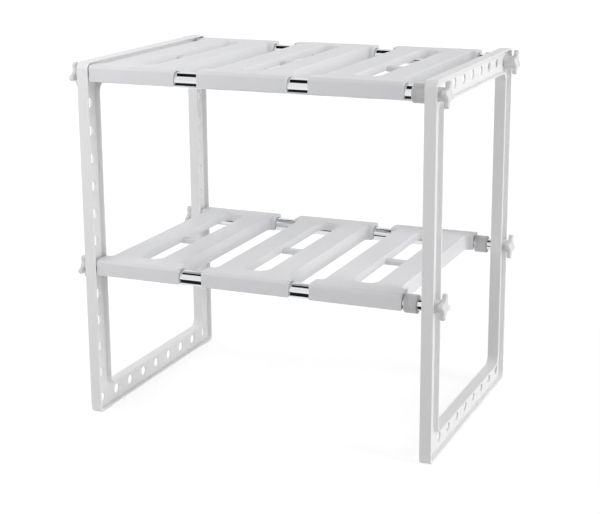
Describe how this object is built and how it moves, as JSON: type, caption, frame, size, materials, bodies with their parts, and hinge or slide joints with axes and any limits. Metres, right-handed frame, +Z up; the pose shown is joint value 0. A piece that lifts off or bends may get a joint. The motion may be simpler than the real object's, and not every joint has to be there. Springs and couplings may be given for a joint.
{
  "type": "expandable storage rack",
  "caption": "Two-tier storage rack with perforated end frames, telescoping chromed rails, clip-on slotted shelf panels and four-armed clamp knobs; widens by sliding the frames apart.",
  "frame": {"origin": "on the floor, midway between the end frames and midway between front and back", "axes": "+X along the rails towards the end frame that slides out, +Y to the back, +Z up"},
  "size_m": [0.409, 0.273, 0.385],
  "materials": {
    "white_frame": "satin moulded plastic",
    "white_plastic": "satin moulded plastic",
    "grey_plastic": "fine matte moulded plastic",
    "chrome": "bright plated tube",
    "zinc_steel": "zinc-plated screw"
  },
  "bodies": {
    "left_end": {"left_frame": "white_frame", "top_front_rail": "chrome", "top_front_collar": "grey_plastic", "top_front_left_plug": "white_plastic", "top_rear_rail": "chrome", "top_rear_collar": "grey_plastic", "top_rear_left_plug": "white_plastic", "lower_front_rail": "chrome", "lower_front_collar": "grey_plastic", "lower_front_left_plug": "white_plastic", "lower_rear_rail": "chrome", "lower_rear_collar": "grey_plastic", "lower_rear_left_plug": "white_plastic"},
    "right_end": {"right_frame": "white_frame", "top_front_sliding_tube": "chrome", "top_front_guide": "grey_plastic", "top_front_right_plug": "white_plastic", "top_rear_sliding_tube": "chrome", "top_rear_guide": "grey_plastic", "top_rear_right_plug": "white_plastic", "lower_front_sliding_tube": "chrome", "lower_front_guide": "grey_plastic", "lower_front_right_plug": "white_plastic", "lower_rear_sliding_tube": "chrome", "lower_rear_guide": "grey_plastic", "lower_rear_right_plug": "white_plastic"},
    "top_front_left_stud": {"top_front_left_stud": "zinc_steel"},
    "top_front_left_knob": {"top_front_left_knob": "white_plastic"},
    "top_front_right_stud": {"top_front_right_stud": "zinc_steel"},
    "top_front_right_knob": {"top_front_right_knob": "white_plastic"},
    "top_rear_left_stud": {"top_rear_left_stud": "zinc_steel"},
    "top_rear_left_knob": {"top_rear_left_knob": "white_plastic"},
    "top_rear_right_stud": {"top_rear_right_stud": "zinc_steel"},
    "top_rear_right_knob": {"top_rear_right_knob": "white_plastic"},
    "top_left_panel": {"top_left_panel": "white_plastic"},
    "top_middle_panel": {"top_middle_panel": "white_plastic"},
    "top_right_panel": {"top_right_panel": "white_plastic"},
    "lower_front_left_stud": {"lower_front_left_stud": "zinc_steel"},
    "lower_front_left_knob": {"lower_front_left_knob": "white_plastic"},
    "lower_front_right_stud": {"lower_front_right_stud": "zinc_steel"},
    "lower_front_right_knob": {"lower_front_right_knob": "white_plastic"},
    "lower_rear_left_stud": {"lower_rear_left_stud": "zinc_steel"},
    "lower_rear_left_knob": {"lower_rear_left_knob": "white_plastic"},
    "lower_rear_right_stud": {"lower_rear_right_stud": "zinc_steel"},
    "lower_rear_right_knob": {"lower_rear_right_knob": "white_plastic"},
    "lower_left_panel": {"lower_left_panel": "white_plastic"},
    "lower_middle_panel": {"lower_middle_panel": "white_plastic"},
    "lower_right_panel": {"lower_right_panel": "white_plastic"}
  },
  "joints": [
    {"name": "expand", "type": "slide", "parent": "left_end", "child": "right_end", "axis": [1, 0, 0], "range_m": [0, 0.31]},
    {"name": "top_front_left_screw_travel", "type": "slide", "parent": "left_end", "child": "top_front_left_stud", "axis": [-1, 0, 0], "range_m": [0, 0.008]},
    {"name": "top_front_left_knob_turn", "type": "hinge", "parent": "top_front_left_stud", "child": "top_front_left_knob", "pos_m": [-0.2025, -0.1235, 0.3705], "axis": [-1, 0, 0], "range_deg": [0, 2880]},
    {"name": "top_front_right_screw_travel", "type": "slide", "parent": "right_end", "child": "top_front_right_stud", "axis": [1, 0, 0], "range_m": [0, 0.008]},
    {"name": "top_front_right_knob_turn", "type": "hinge", "parent": "top_front_right_stud", "child": "top_front_right_knob", "pos_m": [0.2025, -0.1235, 0.3705], "axis": [1, 0, 0], "range_deg": [0, 2880]},
    {"name": "top_rear_left_screw_travel", "type": "slide", "parent": "left_end", "child": "top_rear_left_stud", "axis": [-1, 0, 0], "range_m": [0, 0.008]},
    {"name": "top_rear_left_knob_turn", "type": "hinge", "parent": "top_rear_left_stud", "child": "top_rear_left_knob", "pos_m": [-0.2025, 0.1235, 0.3705], "axis": [-1, 0, 0], "range_deg": [0, 2880]},
    {"name": "top_rear_right_screw_travel", "type": "slide", "parent": "right_end", "child": "top_rear_right_stud", "axis": [1, 0, 0], "range_m": [0, 0.008]},
    {"name": "top_rear_right_knob_turn", "type": "hinge", "parent": "top_rear_right_stud", "child": "top_rear_right_knob", "pos_m": [0.2025, 0.1235, 0.3705], "axis": [1, 0, 0], "range_deg": [0, 2880]},
    {"name": "top_left_panel_slide", "type": "slide", "parent": "left_end", "child": "top_left_panel", "axis": [1, 0, 0], "range_m": [0, 0.013]},
    {"name": "top_middle_panel_slide", "type": "slide", "parent": "left_end", "child": "top_middle_panel", "axis": [1, 0, 0], "range_m": [-0.013, 0.011]},
    {"name": "top_right_panel_slide", "type": "slide", "parent": "left_end", "child": "top_right_panel", "axis": [1, 0, 0], "range_m": [-0.011, 0.007]},
    {"name": "lower_front_left_screw_travel", "type": "slide", "parent": "left_end", "child": "lower_front_left_stud", "axis": [-1, 0, 0], "range_m": [0, 0.008]},
    {"name": "lower_front_left_knob_turn", "type": "hinge", "parent": "lower_front_left_stud", "child": "lower_front_left_knob", "pos_m": [-0.2025, -0.1235, 0.16225], "axis": [-1, 0, 0], "range_deg": [0, 2880]},
    {"name": "lower_front_right_screw_travel", "type": "slide", "parent": "right_end", "child": "lower_front_right_stud", "axis": [1, 0, 0], "range_m": [0, 0.008]},
    {"name": "lower_front_right_knob_turn", "type": "hinge", "parent": "lower_front_right_stud", "child": "lower_front_right_knob", "pos_m": [0.2025, -0.1235, 0.16225], "axis": [1, 0, 0], "range_deg": [0, 2880]},
    {"name": "lower_rear_left_screw_travel", "type": "slide", "parent": "left_end", "child": "lower_rear_left_stud", "axis": [-1, 0, 0], "range_m": [0, 0.008]},
    {"name": "lower_rear_left_knob_turn", "type": "hinge", "parent": "lower_rear_left_stud", "child": "lower_rear_left_knob", "pos_m": [-0.2025, 0.1235, 0.16225], "axis": [-1, 0, 0], "range_deg": [0, 2880]},
    {"name": "lower_rear_right_screw_travel", "type": "slide", "parent": "right_end", "child": "lower_rear_right_stud", "axis": [1, 0, 0], "range_m": [0, 0.008]},
    {"name": "lower_rear_right_knob_turn", "type": "hinge", "parent": "lower_rear_right_stud", "child": "lower_rear_right_knob", "pos_m": [0.2025, 0.1235, 0.16225], "axis": [1, 0, 0], "range_deg": [0, 2880]},
    {"name": "lower_left_panel_slide", "type": "slide", "parent": "left_end", "child": "lower_left_panel", "axis": [1, 0, 0], "range_m": [0, 0.013]},
    {"name": "lower_middle_panel_slide", "type": "slide", "parent": "left_end", "child": "lower_middle_panel", "axis": [1, 0, 0], "range_m": [-0.013, 0.011]},
    {"name": "lower_right_panel_slide", "type": "slide", "parent": "left_end", "child": "lower_right_panel", "axis": [1, 0, 0], "range_m": [-0.011, 0.001]}
  ],
  "couplings": [
    {"joint": "top_front_left_screw_travel", "follows": "top_front_left_knob_turn", "m_per_rad": 0.00015915},
    {"joint": "top_front_right_screw_travel", "follows": "top_front_right_knob_turn", "m_per_rad": 0.00015915},
    {"joint": "top_rear_left_screw_travel", "follows": "top_rear_left_knob_turn", "m_per_rad": 0.00015915},
    {"joint": "top_rear_right_screw_travel", "follows": "top_rear_right_knob_turn", "m_per_rad": 0.00015915},
    {"joint": "lower_front_left_screw_travel", "follows": "lower_front_left_knob_turn", "m_per_rad": 0.00015915},
    {"joint": "lower_front_right_screw_travel", "follows": "lower_front_right_knob_turn", "m_per_rad": 0.00015915},
    {"joint": "lower_rear_left_screw_travel", "follows": "lower_rear_left_knob_turn", "m_per_rad": 0.00015915},
    {"joint": "lower_rear_right_screw_travel", "follows": "lower_rear_right_knob_turn", "m_per_rad": 0.00015915}
  ]
}
